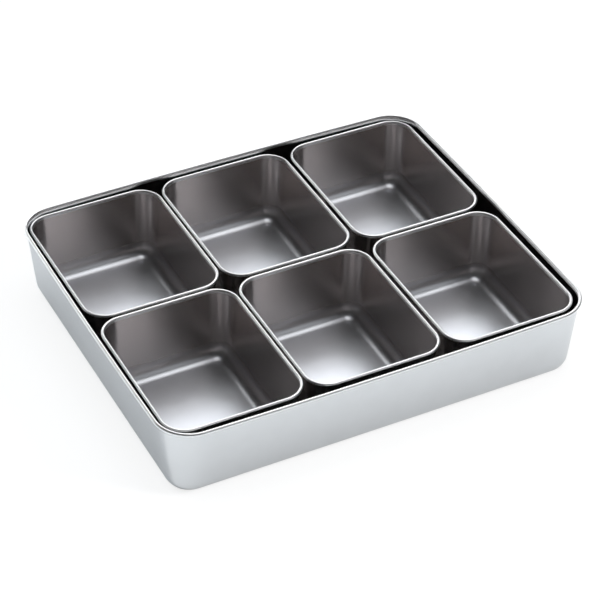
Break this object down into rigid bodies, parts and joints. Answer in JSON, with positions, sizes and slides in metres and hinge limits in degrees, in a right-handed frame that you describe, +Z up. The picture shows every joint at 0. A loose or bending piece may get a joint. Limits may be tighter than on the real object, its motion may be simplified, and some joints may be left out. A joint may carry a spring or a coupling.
{
  "type": "bar garnish tray",
  "caption": "Shallow rectangular steel garnish tray with a curled rim, holding loose deep-drawn pans in two rows for cut fruit and condiments.",
  "frame": {"origin": "centre of the tray's underside, on the surface that it stands on", "axes": "+X along the long side, to the right seen from the front; +Y to the back; +Z up"},
  "size_m": [0.3236, 0.2742, 0.0599],
  "materials": {
    "tray_steel": "bright satin",
    "pan_steel": "fine satin with bright bends and rim"
  },
  "bodies": {
    "tray": {"outer_tray": "tray_steel"},
    "pan_back_left": {"pan_back_left": "pan_steel"},
    "pan_back_middle": {"pan_back_middle": "pan_steel"},
    "pan_back_right": {"pan_back_right": "pan_steel"},
    "pan_front_left": {"pan_front_left": "pan_steel"},
    "pan_front_middle": {"pan_front_middle": "pan_steel"},
    "pan_front_right": {"pan_front_right": "pan_steel"}
  },
  "joints": [
    {"name": "pan_back_left_lift", "type": "slide", "parent": "tray", "child": "pan_back_left", "axis": [0, 0, 1], "range_m": [0, 0.065]},
    {"name": "pan_back_middle_lift", "type": "slide", "parent": "tray", "child": "pan_back_middle", "axis": [0, 0, 1], "range_m": [0, 0.065]},
    {"name": "pan_back_right_lift", "type": "slide", "parent": "tray", "child": "pan_back_right", "axis": [0, 0, 1], "range_m": [0, 0.065]},
    {"name": "pan_front_left_lift", "type": "slide", "parent": "tray", "child": "pan_front_left", "axis": [0, 0, 1], "range_m": [0, 0.065]},
    {"name": "pan_front_middle_lift", "type": "slide", "parent": "tray", "child": "pan_front_middle", "axis": [0, 0, 1], "range_m": [0, 0.065]},
    {"name": "pan_front_right_lift", "type": "slide", "parent": "tray", "child": "pan_front_right", "axis": [0, 0, 1], "range_m": [0, 0.065]}
  ]
}
